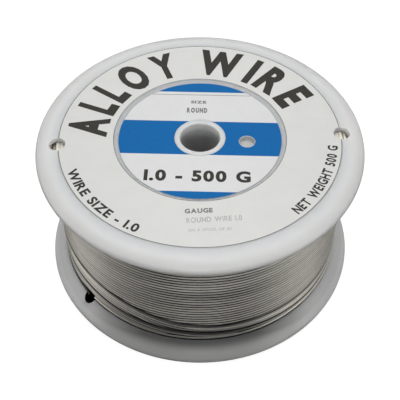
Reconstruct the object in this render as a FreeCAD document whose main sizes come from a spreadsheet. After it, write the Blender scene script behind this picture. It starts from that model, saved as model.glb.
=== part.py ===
"""Solder wire spool: two moulded spool halves, their paper labels and the wound solder wire.

Millimetres, +Z up along the spindle bore. The origin is on the bore axis, in the plane
that the lower flange rests on.
"""
import FreeCAD, Part
import math
import os
import Sketcher
from FreeCAD import Placement, Rotation, Vector

doc = FreeCAD.newDocument("solder_wire_spool")

# ---------------------------------------------------------------- driving dimensions

DIMENSIONS = [
    ("flange_radius", 40.0, "outer radius of both flanges"),
    ("overall_height", 40.7, "from one flange's outer face to the other's"),
    ("web_thickness", 1.3, "flange between the drum and the rim"),
    ("rim_inner_radius", 36.2, "inner wall of the thick rim"),
    ("rim_height", 6.3, "rim at its inner wall, above the outer face"),
    ("rim_flat_radius", 36.4, "where the flat outer face turns into the rounded rim"),
    ("rim_edge_round", 1.4, "rounding of the flange's outermost edge"),
    ("rim_edge_height", 2.05, "centre of that rounding above the outer face"),
    ("rim_edge_span", 48.0, "degrees that the rounding runs up and down from its middle"),
    ("rim_face_round", 5.4, "gentler rounding between the flat face and the edge"),
    ("rim_crown_round", 12.0, "slight crown of the rim's sloping inner side"),
    ("drum_radius", 26.0, "outside of the drum that the wire is wound on"),
    ("drum_wall", 2.0, "thickness of the drum"),
    ("spigot_length", 2.0, "overlap of the two half drums"),
    ("spigot_clearance", 0.05, "gap between spigot and socket"),
    ("centre_radius", 20.62, "radius of the sunken centre"),
    ("centre_depth", 0.7, "sunken centre below the outer face"),
    ("floor_thickness", 2.2, "plate that closes the end of the drum"),
    ("bore_radius", 4.85, "spindle bore"),
    ("tube_radius", 6.2, "outside of the spindle tube"),
    ("lip_depth", 0.4, "end of the spindle tube below the outer face"),
    ("lip_round", 1.2, "rounding of the bore's mouth"),
    ("rib_thickness", 1.6, "ribs between spindle tube and drum"),
    ("rib_height", 8.0, "ribs above the plate that closes the drum"),
    ("rib_root", 0.3, "depth that each rib runs into the walls around it"),
    ("rib_count", 6, "ribs in each half"),
    ("drive_hole_radius", 1.9, "blind hole for a holder's drive pin"),
    ("drive_hole_circle", 11.5, "drive hole's distance from the axis"),
    ("drive_hole_depth", 0.9, "drive hole below the sunken centre"),
    ("upper_drive_angle", 7.0, "upper drive hole, degrees from +X in the half's own frame"),
    ("lower_drive_angle", 48.0, "lower drive hole"),
    ("upper_wire_hole_radius", 1.9, "wire holes in the upper flange"),
    ("upper_wire_hole_circle", 34.6, "their distance from the axis"),
    ("upper_wire_angle_a", 175.3, "one upper wire hole, degrees from +X in the half's own frame"),
    ("upper_wire_angle_b", -1.6, "the other upper wire hole"),
    ("lower_wire_hole_radius", 1.65, "wire holes in the lower flange"),
    ("lower_wire_hole_circle", 36.3, "their distance from the axis"),
    ("lower_wire_angle_a", -140.6, "the hole that takes the wire's outer end"),
    ("lower_wire_angle_b", 39.4, "the spare hole opposite"),
    ("label_thickness", 0.2, "ring labels, flush with the outer face"),
    ("label_radius", 34.4, "outer radius of the ring labels"),
    ("centre_label_radius", 19.85, "outer radius of the centre label"),
    ("centre_label_hole", 6.25, "hole that the centre label leaves round the spindle tube"),
    ("centre_label_thickness", 0.15, "paper of the centre label"),
    ("wire_radius", 0.5, "solder wire"),
    ("wound_radius", 36.1, "outside of the winding"),
    ("winding_gap", 0.02, "play between the winding and the drum and flanges"),
    ("turn_count", 38, "turns in one layer"),
    ("groove_depth", 0.35, "groove between two neighbouring turns"),
    ("drum_hole_radius", 0.8, "hole in the drum for the wire's inner end"),
    ("drum_hole_height", 8.0, "that hole above the lower outer face"),
    ("inner_end_bend", 1.2, "bend radius of the wire's inner end"),
    ("inner_end_reach", 3.6, "inner end's reach into the drum, from the drum's outside"),
    ("inner_end_length", 6.0, "inner end's free length after the bend"),
    ("outer_end_height", 7.05, "wire's outer end above the lower outer face"),
    ("outer_end_circle", 36.7, "outer end's distance from the axis"),
    ("outer_end_start", -116.0, "where the outer end leaves the winding, degrees from +X"),
    ("outer_end_stop", -137.3, "where the outer end bends down"),
    ("outer_end_bend", 1.5, "bend radius of the outer end"),
    ("outer_end_tip", 1.0, "lowest point of the outer end above the outer face"),
]

sheet = doc.addObject("Spreadsheet::Sheet", "Size")
for row, (alias, value, note) in enumerate(DIMENSIONS, start=1):
    sheet.set(f"A{row}", alias)
    sheet.set(f"B{row}", str(value))
    sheet.set(f"C{row}", note)
    sheet.setAlias(f"B{row}", alias)
doc.recompute()


def value_of(expression):
    """Number that an expression over the sheet's cells gives."""
    return float(sheet.evalExpression(expression))


def size(alias):
    """Value of one driving dimension."""
    return value_of(f"Size.{alias}")


# ---------------------------------------------------------------- Part building blocks


def cylinder(name, radius, height, lift="0", away="0", angle="0"):
    """Upright cylinder, its axis at a distance and direction (degrees) from the bore axis."""
    solid = doc.addObject("Part::Cylinder", name)
    solid.setExpression("Radius", radius)
    solid.setExpression("Height", height)
    solid.setExpression("Placement.Base.x", f"({away}) * cos(({angle}) * 1 deg)")
    solid.setExpression("Placement.Base.y", f"({away}) * sin(({angle}) * 1 deg)")
    solid.setExpression("Placement.Base.z", lift)
    return solid


def cut(name, base, *tools):
    """Base with the tools taken away."""
    for number, tool in enumerate(tools, start=1):
        result = doc.addObject("Part::Cut", name if number == len(tools) else f"{name}_{number}")
        result.Base = base
        result.Tool = tool
        base = result
    return base


# ---------------------------------------------------------------- sketch building blocks


def new_sketch(body, name, role, offset="0"):
    """Empty sketch on one of the body's own origin planes, moved along its normal."""
    sketch = body.newObject("Sketcher::SketchObject", name)
    plane = next(plane for plane in body.Origin.OriginFeatures if plane.Role == role)
    sketch.AttachmentSupport = [(plane, "")]
    sketch.MapMode = "FlatFace"
    sketch.setExpression("AttachmentOffset.Base.z", offset)
    return sketch


def constrain(sketch, expression, kind, *targets):
    """Add a dimension to a sketch and bind it to an expression."""
    index = sketch.addConstraint(Sketcher.Constraint(kind, *targets, value_of(expression)))
    sketch.setExpression(f"Constraints[{index}]", expression)


def pin(sketch, edge, end, point):
    """Hold one end of an edge at a point given by two expressions."""
    constrain(sketch, point[0], "DistanceX", -1, 1, edge, end)
    constrain(sketch, point[1], "DistanceY", -1, 1, edge, end)


def start_vector(point):
    return Vector(value_of(point[0]), value_of(point[1]), 0)


def add_line(sketch, start, end):
    edge = sketch.addGeometry(Part.LineSegment(start_vector(start), start_vector(end)))
    pin(sketch, edge, 1, start)
    pin(sketch, edge, 2, end)


def add_arc(sketch, start, end, radius):
    """Arc that runs counter-clockwise from start to end, less than half a turn."""
    first = start_vector(start)
    last = start_vector(end)
    chord = last - first
    reach = value_of(radius)
    rise = math.sqrt(reach ** 2 - (chord.Length / 2) ** 2)
    centre = (first + last) / 2 + Vector(-chord.y, chord.x, 0).normalize() * rise
    angles = [math.atan2(point.y - centre.y, point.x - centre.x) for point in (first, last)]
    circle = Part.Circle(centre, Vector(0, 0, 1), reach)
    edge = sketch.addGeometry(Part.ArcOfCircle(circle, *angles))
    pin(sketch, edge, 1, start)
    pin(sketch, edge, 2, end)
    constrain(sketch, radius, "Radius", edge)


def add_circle(sketch, centre, radius):
    edge = sketch.addGeometry(Part.Circle(start_vector(centre), Vector(0, 0, 1), value_of(radius)))
    pin(sketch, edge, 3, centre)
    constrain(sketch, radius, "Radius", edge)


def add_outline(sketch, start, steps):
    """Closed outline: each step is the next point, and an arc's radius where it isn't a line."""
    corner = start
    for across, along, *radius in steps + [start]:
        if radius:
            add_arc(sketch, corner, (across, along), radius[0])
        else:
            add_line(sketch, corner, (across, along))
        corner = (across, along)


def on_circle(distance, degrees):
    """Point at a distance and a direction, as two expressions."""
    return f"{distance} * cos({degrees} * 1 deg)", f"{distance} * sin({degrees} * 1 deg)"


def revolve(body, sketch, name):
    """Turn a section round the body's Z axis, which is the sketch's upright axis."""
    turned = body.newObject("PartDesign::Revolution", name)
    turned.Profile = sketch
    turned.ReferenceAxis = (sketch, ["V_Axis"])
    turned.Angle = 360
    sketch.Visibility = False
    return turned


def pocket(body, sketch, name, depth="", reverse=True):
    """Cut a sketch into the body, to a depth or right through, and test that it cut."""
    doc.recompute()
    volume = body.Shape.Volume
    hole = body.newObject("PartDesign::Pocket", name)
    hole.Profile = sketch
    hole.Reversed = reverse
    if depth:
        hole.setExpression("Length", depth)
    else:
        hole.Type = "ThroughAll"
    sketch.Visibility = False
    doc.recompute()
    if body.Shape.Volume >= volume:
        raise RuntimeError(f"{name} cuts nothing")


# ---------------------------------------------------------------- spool halves

HALF_HEIGHT = "Size.overall_height / 2"
DRUM_INSIDE = "Size.drum_radius - Size.drum_wall"
FLOOR_TOP = "Size.centre_depth + Size.floor_thickness"


def half_outline(step_radius, step_height):
    """Section of a spool half, outer face down; the step is its spigot or its socket."""
    edge_across = "Size.flange_radius - Size.rim_edge_round * (1 - cos(Size.rim_edge_span * 1 deg))"
    edge_rise = "Size.rim_edge_round * sin(Size.rim_edge_span * 1 deg)"
    start = ("Size.bore_radius", "Size.lip_depth + Size.lip_round")
    steps = [
        ("Size.bore_radius + Size.lip_round", "Size.lip_depth", "Size.lip_round"),
        ("Size.tube_radius", "Size.lip_depth"),
        ("Size.tube_radius", "Size.centre_depth"),
        ("Size.centre_radius", "Size.centre_depth"),
        ("Size.centre_radius", "Size.label_thickness"),
        ("Size.label_radius", "Size.label_thickness"),
        ("Size.label_radius", "0"),
        ("Size.rim_flat_radius", "0"),
        (edge_across, f"Size.rim_edge_height - {edge_rise}", "Size.rim_face_round"),
        (edge_across, f"Size.rim_edge_height + {edge_rise}", "Size.rim_edge_round"),
        ("Size.rim_inner_radius", "Size.rim_height", "Size.rim_crown_round"),
        ("Size.rim_inner_radius", "Size.web_thickness"),
        ("Size.drum_radius", "Size.web_thickness"),
        ("Size.drum_radius", HALF_HEIGHT),
        (step_radius, HALF_HEIGHT),
        (step_radius, step_height),
        (DRUM_INSIDE, step_height),
        (DRUM_INSIDE, FLOOR_TOP),
        ("Size.tube_radius", FLOOR_TOP),
        ("Size.tube_radius", HALF_HEIGHT),
        ("Size.bore_radius", HALF_HEIGHT),
    ]
    return start, steps


def add_ribs(body, name):
    """Upright ribs between the spindle tube and the drum, rooted in both and in the floor."""
    sketch = new_sketch(body, name + "_rib_sketch", "XY_Plane", f"{FLOOR_TOP} - Size.rib_root")
    inside = "Size.tube_radius - Size.rib_root"
    outside = f"{DRUM_INSIDE} + Size.rib_root"
    corners = [
        (outside, "-Size.rib_thickness / 2"),
        (outside, "Size.rib_thickness / 2"),
        (inside, "Size.rib_thickness / 2"),
    ]
    add_outline(sketch, (inside, "-Size.rib_thickness / 2"), corners)
    rib = body.newObject("PartDesign::Pad", name + "_rib")
    rib.Profile = sketch
    rib.setExpression("Length", "Size.rib_height + Size.rib_root")
    doc.recompute()
    ribs = body.newObject("PartDesign::PolarPattern", name + "_ribs")
    ribs.Originals = [rib]
    ribs.Axis = (sketch, ["N_Axis"])
    ribs.Angle = 360
    ribs.setExpression("Occurrences", "Size.rib_count")
    body.Tip = ribs
    sketch.Visibility = False


def spool_half(name, step_radius, step_height, side):
    """One moulded half, its outer face in the XY plane and its drum pointing up."""
    body = doc.addObject("PartDesign::Body", name)
    section = new_sketch(body, name + "_section", "XZ_Plane")
    add_outline(section, *half_outline(step_radius, step_height))
    revolve(body, section, name + "_shell")
    doc.recompute()
    add_ribs(body, name)
    wire_holes = new_sketch(body, name + "_wire_hole_sketch", "XY_Plane")
    for letter in ("a", "b"):
        centre = on_circle(f"Size.{side}_wire_hole_circle", f"Size.{side}_wire_angle_{letter}")
        add_circle(wire_holes, centre, f"Size.{side}_wire_hole_radius")
    pocket(body, wire_holes, name + "_wire_holes")
    drive = new_sketch(body, name + "_drive_hole_sketch", "XY_Plane")
    drive_centre = on_circle("Size.drive_hole_circle", f"Size.{side}_drive_angle")
    add_circle(drive, drive_centre, "Size.drive_hole_radius")
    pocket(body, drive, name + "_drive_hole", "Size.centre_depth + Size.drive_hole_depth")
    return body


def lower_half():
    """Lower half: its drum ends in the spigot and has the hole for the wire's inner end."""
    spigot_radius = "Size.drum_radius - Size.drum_wall / 2 - Size.spigot_clearance"
    spigot_end = f"{HALF_HEIGHT} + Size.spigot_length"
    body = spool_half("lower_spool_half", spigot_radius, spigot_end, "lower")
    hole = new_sketch(body, "drum_hole_sketch", "XZ_Plane", f"-({DRUM_INSIDE} - Size.drum_wall)")
    add_circle(hole, ("0", "Size.drum_hole_height"), "Size.drum_hole_radius")
    pocket(body, hole, "drum_hole", "3 * Size.drum_wall", reverse=False)
    return body


def upper_half():
    """Upper half: the same moulding turned over, with a socket at the end of its drum."""
    socket_radius = "Size.drum_radius - Size.drum_wall / 2"
    socket_end = f"{HALF_HEIGHT} - Size.spigot_length - Size.spigot_clearance"
    body = spool_half("upper_spool_half", socket_radius, socket_end, "upper")
    body.Placement = Placement(Vector(0, 0, 0), Rotation(Vector(1, 0, 0), 180))
    body.setExpression("Placement.Base.z", "Size.overall_height")
    return body


# ---------------------------------------------------------------- labels


def ring_label():
    """Printed paper ring on the upper flange, notched at the two wire holes."""
    lift = "Size.overall_height - Size.label_thickness"
    disc = cylinder("ring_label_disc", "Size.label_radius", "Size.label_thickness", lift)
    middle = cylinder("ring_label_middle", "Size.centre_radius", "Size.label_thickness", lift)
    notches = []
    for letter in ("a", "b"):
        angle = f"-Size.upper_wire_angle_{letter}"
        circle = "Size.upper_wire_hole_circle"
        radius = "Size.upper_wire_hole_radius"
        name = "ring_label_notch_" + letter
        notches.append(cylinder(name, radius, "Size.label_thickness", lift, circle, angle))
    return cut("ring_label", disc, middle, *notches)


def centre_label():
    """Round printed paper in the sunken centre, punched for the bore and the drive hole."""
    lift = "Size.overall_height - Size.centre_depth"
    height = "Size.centre_label_thickness"
    disc = cylinder("centre_label_disc", "Size.centre_label_radius", height, lift)
    middle = cylinder("centre_label_middle", "Size.centre_label_hole", height, lift)
    angle = "-Size.upper_drive_angle"
    punched = cylinder(
        "centre_label_punch", "Size.drive_hole_radius", height, lift, "Size.drive_hole_circle", angle
    )
    return cut("centre_label", disc, middle, punched)


def underside_label():
    """Plain paper ring under the lower flange."""
    disc = cylinder("underside_label_disc", "Size.label_radius", "Size.label_thickness")
    middle = cylinder("underside_label_middle", "Size.centre_radius", "Size.label_thickness")
    return cut("underside_label", disc, middle)


# ---------------------------------------------------------------- solder wire

WINDING_BASE = "Size.web_thickness + Size.winding_gap"
WINDING_HEIGHT = "(Size.overall_height - 2 * Size.web_thickness - 2 * Size.winding_gap)"
OUTER_LAYER_INSIDE = "Size.wound_radius - 2 * Size.wire_radius"


def inner_layers():
    """All layers of wire but the outermost, as one ring round the drum."""
    pack = cylinder("inner_layers_pack", OUTER_LAYER_INSIDE, WINDING_HEIGHT, WINDING_BASE)
    inside = "Size.drum_radius + Size.winding_gap"
    middle = cylinder("inner_layers_middle", inside, WINDING_HEIGHT, WINDING_BASE)
    return cut("solder_inner_layers", pack, middle)


def outer_layer():
    """Outermost layer of wire: a ring with one rounded ridge for each turn."""
    body = doc.addObject("PartDesign::Body", "solder_outer_layer")
    section = new_sketch(body, "outer_layer_section", "XZ_Plane")
    groove = "Size.wound_radius - Size.groove_depth"
    pitch = f"{WINDING_HEIGHT} / Size.turn_count"
    ridge = f"(({pitch}) ^ 2 / 4 + Size.groove_depth ^ 2) / (2 * Size.groove_depth)"
    top = f"{WINDING_BASE} + {WINDING_HEIGHT}"
    steps = [(groove, WINDING_BASE)]
    for turn in range(1, round(size("turn_count")) + 1):
        steps.append((groove, f"{WINDING_BASE} + {turn} * {pitch}", ridge))
    steps.append((OUTER_LAYER_INSIDE, top))
    add_outline(section, (OUTER_LAYER_INSIDE, WINDING_BASE), steps)
    revolve(body, section, "outer_layer_turns")
    return body


def inner_end():
    """Start of the wire: through the hole in the drum, then bent upwards inside it."""
    body = doc.addObject("PartDesign::Body", "solder_inner_end")
    spine = new_sketch(body, "inner_end_spine", "YZ_Plane")
    height = "Size.drum_hole_height"
    inside = "Size.drum_radius - Size.inner_end_reach"
    bend_start = (f"{inside} + Size.inner_end_bend", height)
    bend_end = (inside, f"{height} + Size.inner_end_bend")
    tip = (inside, f"{height} + Size.inner_end_bend + Size.inner_end_length")
    add_line(spine, ("Size.drum_radius", height), bend_start)
    add_arc(spine, bend_end, bend_start, "Size.inner_end_bend")
    add_line(spine, bend_end, tip)
    profile = new_sketch(body, "inner_end_profile", "XZ_Plane", "-Size.drum_radius")
    add_circle(profile, ("0", height), "Size.wire_radius")
    doc.recompute()
    pipe = body.newObject("PartDesign::AdditivePipe", "inner_end_wire")
    pipe.Profile = profile
    pipe.Spine = (spine, ["Edge1", "Edge2", "Edge3"])
    return body


def outer_end():
    """End of the wire: along the outside of the winding, then down into the lower wire hole."""
    reach = size("outer_end_circle")
    height = size("outer_end_height")
    bend = size("outer_end_bend")
    first, last = (math.radians(size("outer_end_" + name)) for name in ("start", "stop"))
    around = [
        Vector(reach * math.cos(angle), reach * math.sin(angle), height)
        for angle in (first, (first + last) / 2, last)
    ]
    ahead = Vector(math.sin(last), -math.cos(last), 0)
    down = Vector(0, 0, -1)
    bend_middle = around[2] + (ahead * math.sin(math.pi / 4) + down * (1 - math.cos(math.pi / 4))) * bend
    bend_end = around[2] + (ahead + down) * bend
    tip = Vector(bend_end.x, bend_end.y, size("outer_end_tip"))
    path = Part.Wire([
        Part.Arc(*around).toShape(),
        Part.Arc(around[2], bend_middle, bend_end).toShape(),
        Part.LineSegment(bend_end, tip).toShape(),
    ])
    away = Vector(-math.sin(first), math.cos(first), 0)
    circle = Part.Wire([Part.Circle(around[0], away, size("wire_radius")).toShape()])
    end = doc.addObject("Part::Feature", "solder_outer_end")
    end.Shape = path.makePipeShell([circle], True, False)
    end.Placement = Placement()
    return end


# ---------------------------------------------------------------- build, test and write

SUB_PARTS = [
    lower_half(),
    upper_half(),
    ring_label(),
    centre_label(),
    underside_label(),
    inner_layers(),
    outer_layer(),
    inner_end(),
    outer_end(),
]
doc.recompute()

for item in doc.Objects:
    if "Invalid" in item.State or "Error" in item.State:
        raise RuntimeError(f"{item.Name} failed: {item.State}")

os.makedirs("parts", exist_ok=True)
for part in SUB_PARTS:
    part.Label = part.Name
    shape = part.Shape
    if shape.isNull() or not shape.isValid() or len(shape.Solids) != 1:
        raise RuntimeError(f"{part.Name} is not one valid solid")
    shape.exportStep(f"parts/{part.Label}.step")
    print(part.Label, round(shape.Volume / 1000, 2), "cm3")
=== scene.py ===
"""Looks of the solder wire spool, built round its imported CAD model.

The frame is the CAD one: metres, +Z up along the spindle bore, the lower flange's outer face
at Z = 0. Sizes below are in millimetres and become metres with MM where a mesh is made.
An azimuth is in degrees from +X, counter-clockwise seen from above; the front is at -90.
"""
import math
import random

import bmesh
import bpy
from mathutils import Matrix, Vector


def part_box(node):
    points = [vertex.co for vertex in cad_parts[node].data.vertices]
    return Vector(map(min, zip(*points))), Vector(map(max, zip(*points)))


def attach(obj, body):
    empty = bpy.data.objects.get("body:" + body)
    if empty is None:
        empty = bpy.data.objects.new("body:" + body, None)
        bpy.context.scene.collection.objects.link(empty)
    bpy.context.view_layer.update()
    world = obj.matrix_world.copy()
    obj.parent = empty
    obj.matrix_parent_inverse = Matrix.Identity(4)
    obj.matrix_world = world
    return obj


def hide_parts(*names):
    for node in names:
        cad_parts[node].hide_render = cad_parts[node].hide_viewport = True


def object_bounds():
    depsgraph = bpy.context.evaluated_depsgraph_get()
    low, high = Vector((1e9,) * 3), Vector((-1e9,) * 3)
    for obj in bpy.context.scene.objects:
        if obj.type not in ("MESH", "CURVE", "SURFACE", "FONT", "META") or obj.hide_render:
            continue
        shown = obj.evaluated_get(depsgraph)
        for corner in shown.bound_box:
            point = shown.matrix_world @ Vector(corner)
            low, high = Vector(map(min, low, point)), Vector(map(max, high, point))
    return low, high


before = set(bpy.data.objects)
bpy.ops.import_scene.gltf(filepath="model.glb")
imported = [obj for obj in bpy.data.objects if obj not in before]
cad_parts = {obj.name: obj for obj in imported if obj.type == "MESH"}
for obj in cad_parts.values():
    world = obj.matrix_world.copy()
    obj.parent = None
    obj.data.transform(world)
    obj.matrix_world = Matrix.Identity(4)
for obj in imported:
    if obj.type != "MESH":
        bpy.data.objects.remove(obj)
cad_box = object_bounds()

MM = 0.001
HEIGHT = cad_box[1].z / MM - 0.001  # a hair under the CAD's height, to stay inside its box
FLANGE = -cad_box[0].x / MM
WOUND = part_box("solder_outer_layer")[1].y / MM  # outside of the winding
DRUM = 26.0
WEB = 1.3  # thickness of the flange between the drum and the rim
RING_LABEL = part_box("ring_label")[1].y / MM
RECESS = 20.85  # upper edge of the sunken centre
CENTRE_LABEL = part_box("centre_label")[1].y / MM
BORE = 4.85
TUBE = 6.2  # outside of the spindle tube
SEGMENTS = 256


# ---------------------------------------------------------------- materials


def nodes_of(name):
    """New material with its shader, and short ways to add and join nodes."""
    made = bpy.data.materials.new(name)
    made.use_nodes = True
    tree = made.node_tree
    shader = tree.nodes["Principled BSDF"]

    def add(kind, **settings):
        node = tree.nodes.new(kind)
        for key, value in settings.items():
            if key in node.inputs:
                node.inputs[key].default_value = value
            else:
                setattr(node, key, value)
        return node

    def join(source, output, target, socket):
        tree.links.new(source.outputs[output], target.inputs[socket])

    return made, shader, add, join


def finish_of(name, colour, roughness, vary=0.04, patch=140.0, grain=1500.0, relief=0.004,
              metallic=0.0, glow=0.0, specular=0.5, along=False):
    """Surface with soft patches in its colour and roughness and a fine grain in its relief.

    patch and grain are noise scales per metre, relief is the grain's height in millimetres.
    glow is the share of light that passes through the surface and comes out nearby.
    With along, the patches are drawn out round the spool's axis, as streaks on wound wire.
    """
    made, shader, add, join = nodes_of(name)
    shader.inputs["Metallic"].default_value = metallic
    shader.inputs["Subsurface Weight"].default_value = glow
    shader.inputs["Subsurface Scale"].default_value = 6 * MM
    shader.inputs["Subsurface Radius"].default_value = (1.0, 0.9, 0.8)
    shader.inputs["Specular IOR Level"].default_value = specular
    place = add("ShaderNodeTexCoord")
    spread, spread_output = place, "Object"
    if along:
        split = add("ShaderNodeSeparateXYZ")
        join(place, "Object", split, 0)
        turn = add("ShaderNodeMath", operation="ARCTAN2")
        join(split, "Y", turn, 0)
        join(split, "X", turn, 1)
        shrink = add("ShaderNodeMath", operation="MULTIPLY")
        shrink.inputs[1].default_value = 0.02
        join(turn, "Value", shrink, 0)
        spread, spread_output = add("ShaderNodeCombineXYZ"), "Vector"
        join(shrink, "Value", spread, "X")
        join(split, "Z", spread, "Y")
    patches = add("ShaderNodeTexNoise", Scale=patch, Detail=4.0, Roughness=0.6)
    join(spread, spread_output, patches, "Vector")
    shade = add("ShaderNodeMapRange")
    for socket, value in (("From Min", 0.3), ("From Max", 0.7),
                          ("To Min", 1 - vary), ("To Max", 1 + vary)):
        shade.inputs[socket].default_value = value
    join(patches, "Fac", shade, "Value")
    tint = add("ShaderNodeMix", data_type="RGBA", blend_type="MULTIPLY")
    tint.inputs["Factor"].default_value = 1.0
    tint.inputs[6].default_value = (*colour, 1)
    join(shade, "Result", tint, 7)
    join(tint, 2, shader, "Base Color")
    rough = add("ShaderNodeMapRange")
    for socket, value in (("From Min", 0.3), ("From Max", 0.7),
                          ("To Min", roughness * 0.88), ("To Max", roughness * 1.12)):
        rough.inputs[socket].default_value = value
    join(patches, "Fac", rough, "Value")
    join(rough, "Result", shader, "Roughness")
    grains = add("ShaderNodeTexNoise", Scale=grain, Detail=2.0)
    join(place, "Object", grains, "Vector")
    bump = add("ShaderNodeBump", Strength=1.0, Distance=relief * MM)
    join(grains, "Fac", bump, "Height")
    join(bump, "Normal", shader, "Normal")
    return made


def add_painted_shade(made, stops, above=None, below=None, aside_share=0.0, behind_share=0.0):
    """Painted shade: darken a finish by its distance from the axis; stops are (radius, share of colour
    left).

    All sizes are in mm. The darkening fades out between the two distances from mid-height in
    above, and between the two heights in below. At the sides at least aside_share is left, and
    behind the spool at least behind_share.
    """
    tree = made.node_tree

    def math_node(operation, *values):
        node = tree.nodes.new("ShaderNodeMath")
        node.operation = operation
        for socket, value in zip(node.inputs, values):
            if isinstance(value, (int, float)):
                socket.default_value = value
            else:
                tree.links.new(value, socket)
        return node.outputs[0]

    def at_least(left, value, limits, top=1.0):
        """Raise the share that is left to top as the value goes from one limit to the other."""
        fade = tree.nodes.new("ShaderNodeMapRange")
        fade.interpolation_type = "SMOOTHSTEP"
        fade.inputs["From Min"].default_value = limits[0] * MM
        fade.inputs["From Max"].default_value = limits[1] * MM
        fade.inputs["To Max"].default_value = top
        tree.links.new(value, fade.inputs["Value"])
        return math_node("MAXIMUM", left, fade.outputs[0])

    place = tree.nodes.new("ShaderNodeTexCoord")
    split = tree.nodes.new("ShaderNodeSeparateXYZ")
    tree.links.new(place.outputs["Object"], split.inputs[0])
    across, aside, up = split.outputs
    squares = math_node("ADD", math_node("POWER", across, 2.0), math_node("POWER", aside, 2.0))
    radius = math_node("SQRT", squares)
    start, end = stops[0][0], stops[-1][0]
    ramp = tree.nodes.new("ShaderNodeValToRGB")
    ramp.color_ramp.interpolation = "EASE"
    set_ramp(ramp, [((at - start) / (end - start), share) for at, share in stops])
    span = math_node("SUBTRACT", radius, start * MM)
    tree.links.new(math_node("DIVIDE", span, (end - start) * MM), ramp.inputs["Fac"])
    left = ramp.outputs["Color"]
    if above:
        from_middle = math_node("ABSOLUTE", math_node("SUBTRACT", up, HEIGHT / 2 * MM))
        left = at_least(left, from_middle, above)
    if below:
        left = at_least(left, up, below)
    if aside_share:
        left = at_least(left, math_node("ABSOLUTE", across), (4, 30), aside_share)
    if behind_share:
        left = at_least(left, aside, (0, 15), behind_share)
    darken(tree, left)


def darken(tree, left):
    """Multiply the colour of a finish by a share of it that is left."""
    colour = tree.nodes["Principled BSDF"].inputs["Base Color"]
    tint = tree.nodes.new("ShaderNodeMix")
    tint.data_type = "RGBA"
    tint.blend_type = "MULTIPLY"
    tint.inputs["Factor"].default_value = 1.0
    tree.links.new(colour.links[0].from_socket, tint.inputs[6])
    tree.links.new(left, tint.inputs[7])
    tree.links.new(tint.outputs[2], colour)


def grooves(made):
    """Painted shade: darken a finish by the groove attribute of its mesh, 1 where nothing is dark."""
    groove = made.node_tree.nodes.new("ShaderNodeAttribute")
    groove.attribute_name = "groove"
    darken(made.node_tree, groove.outputs["Fac"])


def set_ramp(ramp, stops):
    """Give a colour ramp its grey stops, (position, level)."""
    elements = ramp.color_ramp.elements
    while len(elements) < len(stops):
        elements.new(0.5)
    for element, (position, level) in zip(elements, stops):
        element.position = position
        element.color = (level, level, level, 1)


PAPER_FINISH = {"patch": 220, "grain": 4200, "relief": 0.004, "specular": 0.12}
INK_FINISH = {"patch": 700, "grain": 4200, "relief": 0.004, "specular": 0.08}
PLASTIC = finish_of("white_plastic", (0.66, 0.66, 0.65), 0.36, vary=0.025, patch=60, grain=1800,
                    relief=0.003, glow=0.8)
# painted shade in the spindle bore, below its lip
add_painted_shade(PLASTIC, ((20.0, 0.85), (30.0, 1.0)), above=(18.2, 19.9))
# painted shade on the lower flange's rim beside the winding, darkest in front
add_painted_shade(PLASTIC, ((34.0, 1.0), (35.5, 0.28), (36.8, 0.28), (39.1, 1.0)), above=(17.4, 18.0),
     below=(12, 14), aside_share=0.88)
# painted shade on the plastic away from both outer faces, darkest in front and behind
add_painted_shade(PLASTIC, ((30.0, 0.83), (40.0, 0.83)), above=(14.5, 18.5), aside_share=1.0)
# near-black painted shade for the insides of the lower wire holes and the wire's tail in them
HOLE_SHADE = finish_of("hole_shade", (0.003, 0.003, 0.0025), 0.9, specular=0.0)
RING_PAPER = finish_of("ring_label_paper", (0.67, 0.67, 0.65), 0.62, vary=0.02, **PAPER_FINISH)
CENTRE_PAPER = finish_of("centre_label_paper", (0.68, 0.68, 0.685), 0.58, vary=0.02, **PAPER_FINISH)
BLUE_INK = finish_of("blue_ink", (0.004, 0.125, 0.375), 0.55, vary=0.05, **INK_FINISH)
BLACK_INK = finish_of("black_ink", (0.045, 0.042, 0.036), 0.6, vary=0.12, **INK_FINISH)
GREY_INK = finish_of("grey_ink", (0.20, 0.20, 0.19), 0.6, vary=0.12, **INK_FINISH)
PALE_INK = finish_of("pale_ink", (0.44, 0.44, 0.425), 0.6, vary=0.10, **INK_FINISH)
SOLDER = finish_of("solder", (0.86, 0.83, 0.75), 0.42, vary=0.08, patch=900, grain=2600,
                   relief=0.004, metallic=0.38, along=True)
BURIED_SOLDER = finish_of("buried_solder", (0.82, 0.79, 0.70), 0.65, vary=0.10, patch=900, grain=2600,
                          relief=0.004, metallic=0.15, along=True)
# painted shade in the grooves between the turns and on the turns lying deeper, lighter at the sides and
# behind
add_painted_shade(SOLDER, ((WOUND - 1.0, 0.05), (WOUND - 0.18, 0.05), (WOUND - 0.07, 1.0)), above=(18.4, 18.7),
     aside_share=0.6, behind_share=0.6)
# painted shade along the seams, in the wire hole and low in front, from the groove attribute
grooves(SOLDER)


# ---------------------------------------------------------------- meshes


def piece(name, vertices, faces, materials, slot=None, stands_for=()):
    """Object with a mesh given in millimetres, riding on the spool."""
    mesh = bpy.data.meshes.new(name)
    mesh.from_pydata([Vector(v) * MM for v in vertices], [], faces)
    for material in materials:
        mesh.materials.append(material)
    made = bpy.data.objects.new(name, mesh)
    bpy.context.scene.collection.objects.link(made)
    if slot:
        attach(made, "root")
        if stands_for:
            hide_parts(*stands_for)
    return made


def face_outwards(made):
    bm = bmesh.new()
    bm.from_mesh(made.data)
    bmesh.ops.recalc_face_normals(bm, faces=bm.faces)
    bm.to_mesh(made.data)
    bm.free()


def smooth(made, degrees=40):
    """Smooth shading, broken at edges sharper than this angle; flat faces stay flat."""
    made.data.polygons.foreach_set("use_smooth", [True] * len(made.data.polygons))
    made.data.set_sharp_from_angle(angle=math.radians(degrees))
    weighted = made.modifiers.new("flat faces", "WEIGHTED_NORMAL")
    weighted.keep_sharp = True
    bake(made)


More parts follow.
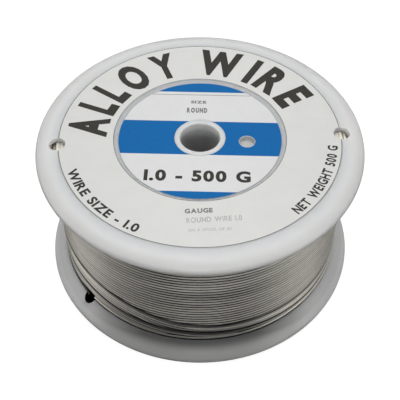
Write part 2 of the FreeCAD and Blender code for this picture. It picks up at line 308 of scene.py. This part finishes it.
def bake(made):
    """Put what the modifiers give into the mesh itself."""
    graph = bpy.context.evaluated_depsgraph_get()
    mesh = bpy.data.meshes.new_from_object(made.evaluated_get(graph))
    mesh.name = made.name
    made.modifiers.clear()
    made.data = mesh


def carve(made, tools, operation="DIFFERENCE"):
    """Take closed shapes away from a closed mesh, or join them to it, and drop the shapes."""
    for tool in tools:
        face_outwards(tool)
        change = made.modifiers.new("carve", "BOOLEAN")
        change.operation = operation
        change.solver = "EXACT"
        change.object = tool
    bpy.context.view_layer.update()
    bake(made)
    for tool in tools:
        bpy.data.objects.remove(tool)


def revolve(outline, segments=SEGMENTS):
    """Vertices and faces of a closed outline, (radius, height) points, turned round the axis."""
    vertices = []
    for step in range(segments):
        angle = 2 * math.pi * step / segments
        vertices += [(r * math.cos(angle), r * math.sin(angle), z) for r, z in outline]
    count = len(outline)
    faces = []
    for step in range(segments):
        here, there = step * count, (step + 1) % segments * count
        for i in range(count):
            j = (i + 1) % count
            faces.append((here + i, there + i, there + j, here + j))
    return vertices, faces


def peg(levels, centre, segments=48, axis="Z"):
    """Closed round tool with flared ends: (radius, height) levels round an upright or a Y axis."""
    vertices = []
    for radius, height in levels:
        for step in range(segments):
            angle = 2 * math.pi * step / segments
            across, aside = radius * math.cos(angle), radius * math.sin(angle)
            spot = (across, aside, height) if axis == "Z" else (across, height, aside)
            vertices.append(Vector(spot) + Vector(centre))
    faces = [tuple(range(segments))]
    for level in range(len(levels) - 1):
        for step in range(segments):
            ahead = (step + 1) % segments
            low, high = level * segments, (level + 1) * segments
            faces.append((low + step, low + ahead, high + ahead, high + step))
    faces.append(tuple(range((len(levels) - 1) * segments, len(levels) * segments)))
    return piece("tool", vertices, faces, [])


def arc(start, end, radius, steps):
    """Points of a counter-clockwise arc of less than half a turn, both ends included."""
    first, last = Vector(start), Vector(end)
    chord = last - first
    rise = math.sqrt(radius ** 2 - (chord.length / 2) ** 2)
    centre = (first + last) / 2 + Vector((-chord.y, chord.x)).normalized() * rise
    angle = math.atan2(first.y - centre.y, first.x - centre.x)
    sweep = 2 * math.asin(chord.length / 2 / radius)
    turns = [angle + sweep * step / steps for step in range(steps + 1)]
    return [(centre.x + radius * math.cos(t), centre.y + radius * math.sin(t)) for t in turns]


def rounded(corners, steps=4):
    """Closed outline from (across, up, rounding) corners."""
    outline = []
    for index, (across, up, rounding) in enumerate(corners):
        here = Vector((across, up))
        if not rounding:
            outline.append((across, up))
            continue
        before = (Vector(corners[index - 1][:2]) - here).normalized()
        after = (Vector(corners[(index + 1) % len(corners)][:2]) - here).normalized()
        half = before.angle(after) / 2
        centre = here + (before + after).normalized() * (rounding / math.sin(half))
        first = here + before * (rounding / math.tan(half)) - centre
        last = here + after * (rounding / math.tan(half)) - centre
        turn = math.atan2(first.x * last.y - first.y * last.x, first.dot(last))
        for step in range(steps + 1):
            angle = turn * step / steps
            outline.append((
                centre.x + first.x * math.cos(angle) - first.y * math.sin(angle),
                centre.y + first.x * math.sin(angle) + first.y * math.cos(angle),
            ))
    return outline


def polar(radius, degrees, height=0.0):
    angle = math.radians(degrees)
    return Vector((radius * math.cos(angle), radius * math.sin(angle), height))


# ---------------------------------------------------------------- spool halves

RIM_INSIDE = 36.2
RIM_HEIGHT = 6.3  # at its inner wall
RIM_FLAT = 36.4  # where the flat outer face turns into the rounded rim
FACE_ROUND = 5.4
EDGE_ROUND = 1.4  # outermost edge, rounded over EDGE_SPAN to both sides of EDGE_HEIGHT
EDGE_HEIGHT = 2.05
EDGE_SPAN = math.radians(48)
CROWN_ROUND = 12  # sloping inner side of the rim
LIP_DEPTH = 0.4
CENTRE_DEPTH = 0.7
LABEL_DEPTH = 0.2
FLOOR_TOP = 2.9  # plate that closes the end of the drum
DRUM_WALL = 2
SOCKET = 25.0
OVERLAP = 2.0  # spigot in socket
PLAY = 0.05
# Holes are (radius, distance from the axis, azimuth), the upper ones before that half is turned over.
UPPER_WIRE_HOLES = [(1.9, 34.6, 175.3), (1.9, 34.6, -1.6)]
LOWER_WIRE_HOLES = [(1.7, 36.2, -140.3), (1.7, 36.2, 39.7)]
UPPER_DRIVE_HOLE = (1.9, 11.5, 7.0)
LOWER_DRIVE_HOLE = (1.9, 11.5, 48.0)
DRUM_HOLE = 0.8
DRUM_HOLE_HEIGHT = 8
RIBS = 6
RIB_HALF = 0.8
RIB_TOP = 10.9
ROOT = 0.3  # depth that a rib runs into the walls and the floor


def half_outline(step_radius, step_height):
    """Section of a spool half with its outer face at height 0, edges slightly rounded."""
    plain = [
        (BORE, LIP_DEPTH, 0.35),
        (TUBE, LIP_DEPTH, 0.12),
        (TUBE, CENTRE_DEPTH, 0.1),
        (CENTRE_LABEL + 0.1, CENTRE_DEPTH, 0.2),
        (RECESS, LABEL_DEPTH, 0.08),
        (RING_LABEL, LABEL_DEPTH, 0.05),
        (RING_LABEL, 0, 0.07),
    ]
    edge = FLANGE - EDGE_ROUND * (1 - math.cos(EDGE_SPAN))
    rise = EDGE_ROUND * math.sin(EDGE_SPAN)
    low, high = (edge, EDGE_HEIGHT - rise), (edge, EDGE_HEIGHT + rise)
    rim = arc((RIM_FLAT, 0), low, FACE_ROUND, 8)
    rim += arc(low, high, EDGE_ROUND, 10)[1:]
    rim += arc(high, (RIM_INSIDE, RIM_HEIGHT), CROWN_ROUND, 8)[1:-1]
    plain += [(across, up, 0) for across, up in rim]
    plain += [
        (RIM_INSIDE, RIM_HEIGHT, 0.12),
        (RIM_INSIDE, WEB, 0.3),
        (DRUM, WEB, 0.3),
        (DRUM, HEIGHT / 2, 0),
        (step_radius, HEIGHT / 2, 0),
        (step_radius, step_height, 0),
        (DRUM - DRUM_WALL, step_height, 0),
        (DRUM - DRUM_WALL, FLOOR_TOP, 0.3),
        (TUBE, FLOOR_TOP, 0.3),
        (TUBE, HEIGHT / 2, 0),
        (BORE, HEIGHT / 2, 0),
    ]
    return rounded(plain)


def rib(turn):
    """Upright rib between the spindle tube and the drum."""
    corners = []
    near, far = TUBE - ROOT, DRUM - DRUM_WALL + ROOT
    for up in (FLOOR_TOP - ROOT, RIB_TOP):
        for out, aside in ((near, -RIB_HALF), (far, -RIB_HALF), (far, RIB_HALF), (near, RIB_HALF)):
            spot = Vector((out, aside, up))
            spot.rotate(Matrix.Rotation(turn, 3, "Z"))
            corners.append(spot)
    faces = [(3, 2, 1, 0), (4, 5, 6, 7), (0, 1, 5, 4), (1, 2, 6, 5), (2, 3, 7, 6), (3, 0, 4, 7)]
    return piece("tool", corners, faces, [])


def shade_holes(half, wire_holes):
    """Second material, a painted near-black shade, on the walls in and beside the wire holes and on the
    web next to them.
    """
    for polygon in half.data.polygons:
        spot = polygon.center / MM
        for radius, circle, angle in wire_holes:
            mouth = polar(circle, angle).xy
            in_hole = 0.4 < spot.z < RIM_HEIGHT - 0.3 and polygon.normal.z < 0.3
            on_web = abs(spot.z - WEB) < 0.1 and spot.xy.angle(mouth) < 0.1
            if on_web or in_hole and (spot.xy - mouth).length < radius + 1.2:
                polygon.material_index = 1


def rounded_mouth(radius, flare, depth, steps):
    """Levels of a hole's rounded mouth, from its flared edge at a depth to its straight wall."""
    turns = [math.pi / 2 * step / steps for step in range(steps + 1)]
    return [(radius + flare * (1 - math.sin(t)), depth + flare * (1 - math.cos(t))) for t in turns]


def spool_half(name, node, step_radius, step_height, wire_holes, drive_hole, upper):
    """One moulded half with its ribs and holes; the upper one is turned over."""
    shell = revolve(half_outline(step_radius, step_height))
    half = piece(name, *shell, [PLASTIC], "spool_plastic", (node,))
    face_outwards(half)
    carve(half, [rib(2 * math.pi * number / RIBS) for number in range(RIBS)], "UNION")
    tools = []
    for radius, circle, angle in wire_holes:
        flare = 0.3
        mouth = rounded_mouth(radius, flare, 0, 4)
        tools.append(peg([(radius + flare, -1), *mouth, (radius, RIM_HEIGHT + 1.7)], polar(circle, angle)))
    radius, circle, angle = drive_hole
    flare = 0.15
    mouth = rounded_mouth(radius, flare, CENTRE_DEPTH, 3)
    floor = [(radius, 1.4), (radius - 0.06, 1.54), (radius - 0.2, 1.6)]
    tools.append(peg([(radius + flare, -1), *mouth, *floor], polar(circle, angle)))
    if not upper:
        levels = [(DRUM_HOLE, DRUM - DRUM_WALL - 1), (DRUM_HOLE, DRUM + 1)]
        tools.append(peg(levels, (0, 0, DRUM_HOLE_HEIGHT), 24, "Y"))
    carve(half, tools)
    if upper:
        half.data.transform(Matrix.Translation((0, 0, HEIGHT * MM)) @ Matrix.Rotation(math.pi, 4, "X"))
    else:
        half.data.materials.append(HOLE_SHADE)
        shade_holes(half, wire_holes)
    smooth(half)


spool_half("lower_half_moulding", "lower_spool_half", SOCKET - PLAY, HEIGHT / 2 + OVERLAP,
           LOWER_WIRE_HOLES, LOWER_DRIVE_HOLE, upper=False)
spool_half("upper_half_moulding", "upper_spool_half", SOCKET, HEIGHT / 2 - OVERLAP - PLAY,
           UPPER_WIRE_HOLES, UPPER_DRIVE_HOLE, upper=True)


# ---------------------------------------------------------------- labels

PRINT_TILT = -1.75  # degrees that the centre label is turned
INK = 0.012  # thickness of the print
LABEL_INSIDE = RECESS + 0.06
LABEL_OUTSIDE = RING_LABEL - 0.05
LABEL_TOP = HEIGHT - 0.025
EDGE_LINE = 0.17  # thin grey line along both edges of the ring label
CENTRE_TOP = HEIGHT - 0.57
# Bands across the centre label: (lowest, highest, material number), heights before the tilt.
BANDS = [(16.45, 25.0, 1), (15.28, 15.46, 2), (-5.84, 5.66, 1), (-25.0, -17.6, 1)]


def label_ring(name, node, inside, outside, bottom, top, materials, slot, breaks=()):
    """Thin paper ring; breaks are radii where its upper face is divided for printing."""
    outline = [(inside, bottom), (outside, bottom), (outside, top)]
    outline += [(radius, top) for radius in sorted(breaks, reverse=True)]
    outline += [(inside, top)]
    label = piece(name, *revolve(outline), materials, slot, (node,))
    face_outwards(label)
    return label


def paint(label, ink_for):
    """Give each upward face the material number that ink_for returns for its middle, in mm."""
    for polygon in label.data.polygons:
        if polygon.normal.z > 0.5:
            polygon.material_index = ink_for(polygon.center.x / MM, polygon.center.y / MM)


def slice_label(label, heights):
    """Cut lines across a label, parallel to its tilted print, so that bands can be painted."""
    across = Matrix.Rotation(math.radians(PRINT_TILT), 3, "Z") @ Vector((0, 1, 0))
    bm = bmesh.new()
    bm.from_mesh(label.data)
    for height in heights:
        geometry = bm.verts[:] + bm.edges[:] + bm.faces[:]
        bmesh.ops.bisect_plane(bm, geom=geometry, dist=1e-8, plane_no=across,
                               plane_co=across * height * MM)
    bm.to_mesh(label.data)
    bm.free()


def punch(label, holes, margin, bottom, top):
    """Cut a label round the upper half's holes, a little wider than they are."""
    carve(label, [peg([(radius + margin, bottom), (radius + margin, top)], polar(circle, -angle))
                  for radius, circle, angle in holes])


def edge_line_material(x, y):
    """Material number of a spot on the ring label: 1, a dark grey line, along its two edges."""
    return int(not LABEL_INSIDE + EDGE_LINE < math.hypot(x, y) < LABEL_OUTSIDE - EDGE_LINE)


def centre_ink(x, y):
    """Material number of a spot on the centre label: its band's, or 0 on bare paper."""
    tilt = math.radians(PRINT_TILT)
    height = y * math.cos(tilt) - x * math.sin(tilt)
    return next((ink for low, high, ink in BANDS if low < height < high), 0)


ring = label_ring("ring_label_sheet", "ring_label", LABEL_INSIDE, LABEL_OUTSIDE, HEIGHT - 0.195,
                  LABEL_TOP, [RING_PAPER, GREY_INK], "ring_label_paper",
                  (LABEL_INSIDE + EDGE_LINE, LABEL_OUTSIDE - EDGE_LINE))
punch(ring, UPPER_WIRE_HOLES, 0.15, HEIGHT - 1, HEIGHT + 1)
paint(ring, edge_line_material)

label_ring("underside_label_sheet", "underside_label", LABEL_INSIDE, LABEL_OUTSIDE, 0.02, 0.19,
           [RING_PAPER], "ring_label_paper")

centre = label_ring("centre_label_sheet", "centre_label", TUBE + 0.06, CENTRE_LABEL, HEIGHT - 0.695,
                    CENTRE_TOP, [CENTRE_PAPER, BLUE_INK, GREY_INK], "centre_label_paper")
punch(centre, [UPPER_DRIVE_HOLE], 0.12, HEIGHT - 2, HEIGHT)
slice_label(centre, [edge for band in BANDS for edge in band[:2] if abs(edge) < CENTRE_LABEL])
paint(centre, centre_ink)


# ---------------------------------------------------------------- print

def glyph(character, weight):
    """Vertices, faces and width of a character of size 1, its left edge at the origin."""
    curve = bpy.data.curves.new("glyph", "FONT")
    curve.body = character
    curve.offset = weight
    curve.resolution_u = 4
    curve.extrude = 0.5
    made = bpy.data.objects.new("glyph", curve)
    bpy.context.scene.collection.objects.link(made)
    bpy.context.view_layer.update()
    mesh = bpy.data.meshes.new_from_object(made.evaluated_get(bpy.context.evaluated_depsgraph_get()))
    vertices = [vertex.co.copy() for vertex in mesh.vertices]
    faces = [tuple(polygon.vertices) for polygon in mesh.polygons]
    bpy.data.objects.remove(made)
    left = min(vertex.x for vertex in vertices)
    width = max(vertex.x for vertex in vertices) - left
    return [Vector((v.x - left, v.y, v.z)) for v in vertices], faces, width


CAPITAL = max(vertex.y for vertex in glyph("H", 0)[0])


def lay_text(words, height, weight, length, place, space=0.45, gap=0.12):
    """Characters set side by side over a given length.

    place(middle, across, up) gives a spot, in mm, from the place of the character's middle along
    the line, the distance across from there and the height above the line.
    """
    letters = [None if character == " " else glyph(character, weight) for character in words]
    natural = sum(space if letter is None else letter[2] / CAPITAL for letter in letters)
    stretch = (length / height - gap * (len(words) - 1)) / natural
    vertices, faces = [], []
    along = 0.0
    for letter in letters:
        if letter is None:
            along += (space * stretch + gap) * height
            continue
        points, sides, width = letter
        first = len(vertices)
        middle = along + width / CAPITAL * stretch * height / 2
        for point in points:
            across = (point.x - width / 2) / CAPITAL * stretch * height
            up = point.y / CAPITAL * height
            vertices.append(place(middle, across, up) + Vector((0, 0, point.z * INK)))
        faces += [tuple(first + corner for corner in side) for side in sides]
        along += (width / CAPITAL * stretch + gap) * height
    return vertices, faces


def on_arc(radius, start, up_is_out=True):
    """Line on a circle of the ring label, clockwise with tops outward or the other way round."""
    sign = 1 if up_is_out else -1

    def place(middle, across, up):
        angle = math.radians(start - sign * math.degrees(middle / radius))
        out = Vector((math.cos(angle), math.sin(angle), 0))
        right = Vector((out.y, -out.x, 0)) * sign
        return out * (radius + sign * up) + right * across + Vector((0, 0, LABEL_TOP + INK / 2))

    return place


def on_line(left, base, height, tilt):
    """Straight line from (left, base) at a height, tilted by some degrees."""
    right = polar(1, tilt)
    upward = Vector((-right.y, right.x, 0))

    def place(middle, across, up):
        return Vector((left, base, height + INK / 2)) + right * (middle + across) + upward * up

    return place


def print_on(name, texts, ink, slot):
    """One piece of print made of several texts, each (words, height, weight, length, place)."""
    vertices, faces = [], []
    for text in texts:
        more, sides = lay_text(*text)
        faces += [tuple(len(vertices) + corner for corner in side) for side in sides]
        vertices += more
    return piece(name, vertices, faces, [ink], slot)


def arc_text(words, style, first, last, up_is_out=True):
    """Text for print_on on a circle, from the first to the last azimuth; style is a tuple below."""
    radius, height, weight = style
    length = radius * math.radians(abs(last - first))
    return words, height, weight, length, on_arc(radius, first, up_is_out)


# Print styles on circles: (radius of the base line, height of capitals, weight of the strokes).
TITLE = (23.2, 8.7, 0.05)
SMALL_PRINT = (33.2, 2.2, 0.034)
print_on("ring_label_title", [
    arc_text("ALLOY", TITLE, 181, 102),
    arc_text("WIRE", TITLE, 93, 25),
], BLACK_INK, "ring_label_paper")
print_on("ring_label_small_print", [
    arc_text("WIRE SIZE - 1.0", SMALL_PRINT, -159.5, -115, False),
    arc_text("NET WEIGHT 500 G", SMALL_PRINT, -48.5, -6, False),
], BLACK_INK, "ring_label_paper")
print_on("ring_label_dark_line", [
    ("GAUGE", 1.2, 0.045, 6.3, on_line(-3.4, -24.6, LABEL_TOP, 3)),
], GREY_INK, "ring_label_paper")
print_on("ring_label_pale_lines", [
    ("ROUND WIRE 1.0", 1.4, 0.02, 12.4, on_line(-3.0, -27.4, LABEL_TOP, 4)),
    ("ON A SPOOL OF 80", 0.8, 0.0, 9.6, on_line(-2.6, -29.9, LABEL_TOP, 3)),
], PALE_INK, "ring_label_paper")
print_on("centre_label_number", [
    ("1.0 - 500 G", 3.1, 0.045, 25.0, on_line(-13.2, -13.9, CENTRE_TOP, PRINT_TILT)),
], BLACK_INK, "centre_label_paper")
print_on("centre_label_smudges", [
    ("SIZE", 0.9, 0.05, 3.9, on_line(-2.3, 12.3, CENTRE_TOP, PRINT_TILT)),
    ("ROUND", 1.5, 0.07, 5.1, on_line(-3.3, 9.0, CENTRE_TOP, PRINT_TILT)),
], GREY_INK, "centre_label_paper")


# ---------------------------------------------------------------- solder wire

# A turn is an azimuth counted from the front of the spool: -90 on the left, 90 on the right, and
# 180 behind. A dive is how far it lies in the layer below, up to 1; below 0 it stands out a little.
WIRE = 0.47  # radius
BEND = 0.55  # radius of the wire's middle where it turns down into its hole
TAIL_END = 1.0  # height of its end in the hole
TAIL_STEPS = 10  # last steps of the wire, in its bend and below, which get the hole's painted shade
PITCH = 0.995  # of the even turns
LANE_PITCH = 0.97  # of the last turns
LAST_LANE = 10
LAST_LEVEL = 6.65
END_TURN = -47.6
SHIFT = 0.125  # share of a turn, on each side of the back, that a change of lanes takes
TURN_STEPS = 192
WIRE_SIDES = 8
OUTSIDE = WOUND - 0.5  # middle of the outermost turns
DIVE = 0.95  # depth of a full dive
chance = random.Random(11)


def ease(value):
    """0 below 0, 1 above 1, and a smooth step between."""
    value = min(max(value, 0.0), 1.0)
    return value * value * (3 - 2 * value)


def round_spool(front, turn):
    """Value at a turn from the front, in degrees; behind the spool it eases back from left to right."""
    if abs(turn) <= 90:
        return front(turn)
    behind = (turn - 90) / 180 if turn > 0 else (turn + 270) / 180
    return front(90) + (front(-90) - front(90)) * ease(behind)


def first_seam(turn):
    """Height of the upper groove, where the even turns dive under the last ones."""
    return HEIGHT + FLANGE * round_spool(lambda t: -0.666 - 0.068 * math.tanh((t + 20) / 24), turn)


def second_seam(turn):
    """Height of the lower groove between the last turns."""
    return HEIGHT + FLANGE * round_spool(lambda t: -0.771 - 0.040 * math.tanh((t + 12) / 40), turn)


def upper_lane(number, turn):
    """Height and dive of the turns between the two grooves."""
    top, bottom = first_seam(turn), second_seam(turn)
    pitch = min(LANE_PITCH, (top - bottom - 1.1) / 2) if number < 3 else LANE_PITCH
    height = top - 0.66 - pitch * number
    if number < 3:
        lift = -0.1 * ease((-turn - 20) / 40)
        if number == 1:
            lift -= 0.1 * ease((LANE_PITCH - pitch) / 0.1)
        return height, lift
    return height, 0.9 * ease((bottom - 0.38 - height) / 0.35)


def lower_lane(number, turn):
    """Height and dive of the turns below the lower groove; they pass under the last turn."""
    height = second_seam(turn) - 0.88 - LANE_PITCH * number
    if number == 0:
        return height, 0.0
    behind = ease((-turn - 145) / 35)
    if number > 2:
        return height, max(behind, ease((turn + (58 if number == 3 else 74)) / 12))
    if turn < -52:
        return height, behind
    return height, 1.0 if turn > 90 else ease((last_height(turn) + 0.5 - height) / 0.35)


def last_height(turn):
    """Height of the wire's last turn: level in front, along the turn above it to the right."""
    return min(second_seam(turn) - 0.88 - LANE_PITCH, LAST_LEVEL)


def last_lane(turn):
    """Height and dive of the last turn, which stands out a little."""
    return last_height(turn), -0.12


def lane(number, turn):
    """Height and dive of one of the last turns, numbered from the upper groove down."""
    if number <= 4:
        return upper_lane(max(number, 0), turn)
    return lower_lane(number - 5, turn) if number <= 9 else last_lane(turn)


def last_turns():
    """Centre line of the last eleven turns, changing lanes behind the spool."""
    total = LAST_LANE + (180 - END_TURN) / 360
    steps = round(total * TURN_STEPS)
    waves = [(chance.uniform(0, 6.28), chance.uniform(0, 6.28)) for _ in range(LAST_LANE + 2)]
    line = []
    for step in range(steps + 1):
        progress = total * step / steps
        number = min(int(progress), LAST_LANE)
        part = progress - number
        turn = 180 - 360 * part
        other, mix = number, 0.0
        if part < SHIFT and number > 0:
            other, mix = number - 1, 0.5 * (1 - ease(part / SHIFT))
        if part > 1 - SHIFT:
            other, mix = number + 1, 0.5 * ease((part - 1 + SHIFT) / SHIFT)
        height, dive = lane(number, turn)
        other_height, other_dive = lane(other, turn)
        height += (other_height - height) * mix
        dive += (other_dive - dive) * mix
        wave = waves[number]
        angle = math.radians(turn)
        calm = 1 - ease((progress - total + 0.3) / 0.2)
        height += 0.03 * math.sin(2 * angle + wave[0]) * calm
        radius = OUTSIDE + 0.03 - DIVE * dive + 0.03 * math.sin(3 * angle + wave[1]) * calm
        line.append(polar(radius, turn - 90, height))
    corner = line[-1]
    along = math.radians(END_TURN - 90)
    ahead = Vector((math.sin(along), -math.cos(along), 0))
    down = Vector((0, 0, -1))
    for step in range(1, 9):
        angle = math.pi / 2 * step / 8
        line.append(corner + BEND * (ahead * math.sin(angle) + down * (1 - math.cos(angle))))
    bottom = line[-1].copy()
    bottom.z = TAIL_END
    line += [line[-1].lerp(bottom, share) for share in (0.25, 0.5, 0.75, 1)]
    return line


def even_turns():
    """Centre line of the even turns: a spiral from the top that dives under the last turns."""
    top = HEIGHT - WEB - 0.54
    total = (top - WEB - 0.52) / PITCH
    steps = round(total * TURN_STEPS)
    waves = [(chance.uniform(0, 6.28), chance.uniform(0, 6.28)) for _ in range(int(total) + 2)]
    line = []
    for step in range(steps + 1):
        progress = total * step / steps
        turn = 180 - 360 * (progress % 1)
        height = top - PITCH * progress
        dive = ease((first_seam(turn) - 0.16 - height) / 0.35)
        angle = math.radians(turn)
        here, ahead, mix = waves[int(progress)], waves[int(progress) + 1], ease(progress % 1)
        sway = math.sin(2 * angle + here[0]) * (1 - mix) + math.sin(2 * angle + ahead[0]) * mix
        swell = math.sin(3 * angle + here[1]) * (1 - mix) + math.sin(3 * angle + ahead[1]) * mix
        line.append(polar(OUTSIDE - DIVE * dive + 0.025 * swell, turn - 90, height + 0.018 * sway))
    return line


def tube(line, radius=WIRE, sides=WIRE_SIDES):
    """Vertices and faces of a wire along a line that runs round the spool or down beside it."""
    vertices, faces = [], []
    for index, spot in enumerate(line):
        ahead = (line[min(index + 1, len(line) - 1)] - line[max(index - 1, 0)]).normalized()
        out = Vector((spot.x, spot.y, 0)).normalized()
        out = (out - ahead * out.dot(ahead)).normalized()
        aside = ahead.cross(out)
        for side in range(sides):
            angle = 2 * math.pi * side / sides
            vertices.append(spot + radius * (out * math.cos(angle) + aside * math.sin(angle)))
    for index in range(len(line) - 1):
        here, there = index * sides, (index + 1) * sides
        for side in range(sides):
            ahead = (side + 1) % sides
            faces.append((here + side, here + ahead, there + ahead, there + side))
    faces.append(tuple(range(sides)))
    faces.append(tuple(range(len(vertices) - sides, len(vertices))))
    return vertices, faces


def join_parts(*parts):
    """Vertices and faces of several parts as one."""
    vertices, faces = [], []
    for points, sides in parts:
        faces += [tuple(len(vertices) + corner for corner in side) for side in sides]
        vertices += points
    return vertices, faces


def shade_seams(mesh):
    """Groove attribute of painted shade: dark along the two seams and in the wire hole, dim low in front.
    """
    groove = mesh.attributes.new("groove", "FLOAT", "POINT")
    mouths = [polar(circle, angle).xy for _, circle, angle in LOWER_WIRE_HOLES]
    for vertex in mesh.vertices:
        spot = vertex.co / MM
        turn = (math.degrees(math.atan2(spot.y, spot.x)) + 90 + 180) % 360 - 180
        away = min(abs(spot.z - first_seam(turn) + 0.1), abs(spot.z - second_seam(turn) + 0.3))
        reach = 0.24 + 0.2 * ease((45 - abs(turn + 12)) / 30)
        left = 0.07 + 0.93 * ease((away - reach) / 0.3)
        left *= 1 - 0.6 * ease((13 - spot.z) / 4) * ease((48 - abs(turn + 5)) / 35)
        if spot.z < RIM_HEIGHT and min((spot.xy - mouth).length for mouth in mouths) < 3.4:
            left = 0.02
        groove.data[vertex.index].value = left


outer_turns = piece("solder_outer_turns", *join_parts(tube(even_turns()), tube(last_turns())),
                    [SOLDER, HOLE_SHADE], "solder", ("solder_outer_layer", "solder_outer_end"))
face_outwards(outer_turns)
# painted shade of the hole on the wire's bend and tail
for polygon in outer_turns.data.polygons[-TAIL_STEPS * WIRE_SIDES - 2:]:
    polygon.material_index = 1
smooth(outer_turns, 60)
shade_seams(outer_turns.data)


def inner_layers_outline():
    """Section of the layers below: a ridge for each layer in its end faces, one layer more on top."""
    low, high = WEB + 0.05, HEIGHT - WEB - 0.05
    inside, outside = DRUM + 0.02, WOUND - 2
    layers, ridge = 8, 0.35
    width = (outside - inside) / layers
    outwards, inwards = (0.0, 0.08, 0.25, 0.5, 0.75, 0.92), (1.0, 0.92, 0.75, 0.5, 0.25, 0.08)
    outline = []
    for face, sign, order in ((low, 1, range(layers)), (high, -1, reversed(range(layers + 1)))):
        for layer in order:
            for share in outwards if sign > 0 else inwards:
                drop = ridge * (1 - math.sqrt(max(0.0, 1 - (2 * share - 1) ** 2)))
                outline.append((inside + (layer + share) * width, face + sign * drop))
        if sign > 0:
            outline += [(outside, low + ridge), (outside, high - 4), (outside + width, high - 4)]
    return outline


inner_layers = piece("solder_inner_windings", *revolve(inner_layers_outline(), 192),
                     [BURIED_SOLDER], "solder", ("solder_inner_layers",))
face_outwards(inner_layers)
smooth(inner_layers)

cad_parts["solder_inner_end"].data.materials.clear()
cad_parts["solder_inner_end"].data.materials.append(BURIED_SOLDER)


# ---------------------------------------------------------------- floor, light and camera

AIM = Vector((0, 0, 0.01692))
DISTANCE = 0.2213
ELEVATION = math.radians(48.98)


def make_floor():
    """Plain pale floor that hardly shows a shadow."""
    reach, low = 4.0, -0.0002
    corners = [(across * reach, along * reach, low)
               for across, along in ((-1, -1), (1, -1), (1, 1), (-1, 1))]
    mesh = bpy.data.meshes.new("floor")
    mesh.from_pydata(corners, [], [(0, 1, 2, 3)])
    floor = bpy.data.objects.new("floor", mesh)
    bpy.context.scene.collection.objects.link(floor)
    made, shader, _, _ = nodes_of("pale_floor")
    shader.inputs["Base Color"].default_value = (0.2, 0.2, 0.2, 1)
    shader.inputs["Roughness"].default_value = 0.9
    shader.inputs["Specular IOR Level"].default_value = 0.0
    shader.inputs["Emission Color"].default_value = (1, 1, 1, 1)
    shader.inputs["Emission Strength"].default_value = 0.93
    mesh.materials.append(made)
    floor.visible_diffuse = False
    floor.visible_glossy = False


def make_light(name, place, size, power):
    """Soft square light aimed at the spool."""
    data = bpy.data.lights.new(name, "AREA")
    data.shape = "SQUARE"
    data.size = size
    data.energy = power
    light = bpy.data.objects.new(name, data)
    light.location = place
    light.rotation_euler = (AIM - Vector(place)).to_track_quat("-Z", "Y").to_euler()
    bpy.context.scene.collection.objects.link(light)


def make_spot(name, place, target, cone, size, power):
    """Lamp with a soft-edged cone, in degrees, that lights the upper rim and fades downwards."""
    data = bpy.data.lights.new(name, "SPOT")
    data.spot_size = math.radians(cone)
    data.spot_blend = 1.0
    data.shadow_soft_size = size
    data.energy = power
    light = bpy.data.objects.new(name, data)
    light.location = place
    light.rotation_euler = (Vector(target) - Vector(place)).to_track_quat("-Z", "Y").to_euler()
    bpy.context.scene.collection.objects.link(light)
    light.visible_camera = False


def make_world():
    """Soft surroundings: bright above and behind, dim in front, at the horizon and below."""
    world = bpy.data.worlds.new("studio")
    bpy.context.scene.world = world
    world.use_nodes = True
    tree = world.node_tree
    place = tree.nodes.new("ShaderNodeTexCoord")
    split = tree.nodes.new("ShaderNodeSeparateXYZ")
    ramp = tree.nodes.new("ShaderNodeValToRGB")
    tree.links.new(place.outputs["Generated"], split.inputs[0])
    lean = tree.nodes.new("ShaderNodeMath")
    lean.operation = "MULTIPLY_ADD"
    lean.inputs[1].default_value = 0.25
    tree.links.new(split.outputs["Y"], lean.inputs[0])
    tree.links.new(split.outputs["Z"], lean.inputs[2])
    tree.links.new(lean.outputs["Value"], ramp.inputs["Fac"])
    tree.links.new(ramp.outputs["Color"], tree.nodes["Background"].inputs["Color"])
    set_ramp(ramp, ((0.0, 0.02), (0.15, 0.05), (0.5, 0.26), (0.95, 0.60)))
    tree.nodes["Background"].inputs["Strength"].default_value = 1.0


make_floor()
make_world()
make_light("key", (0.0, 0.28, 0.60), 0.7, 2.7)
make_light("left", (-0.60, -0.08, 0.15), 0.4, 1.2)
make_light("right", (0.52, -0.26, 0.15), 0.4, 1.15)
make_spot("front", (0.0, -0.22, 0.125), (0.0, -0.03, 0.051), 25, 0.03, 0.70)

camera_data = bpy.data.cameras.new("camera")
camera_data.lens = 75.29
camera_data.sensor_width = 36.0
camera_data.clip_start = 0.01
camera = bpy.data.objects.new("camera", camera_data)
camera.location = AIM + DISTANCE * Vector((0, -math.cos(ELEVATION), math.sin(ELEVATION)))
camera.rotation_euler = (math.pi / 2 - ELEVATION, 0, 0)
bpy.context.scene.collection.objects.link(camera)
bpy.context.scene.camera = camera
bpy.context.scene.view_settings.view_transform = "Standard"
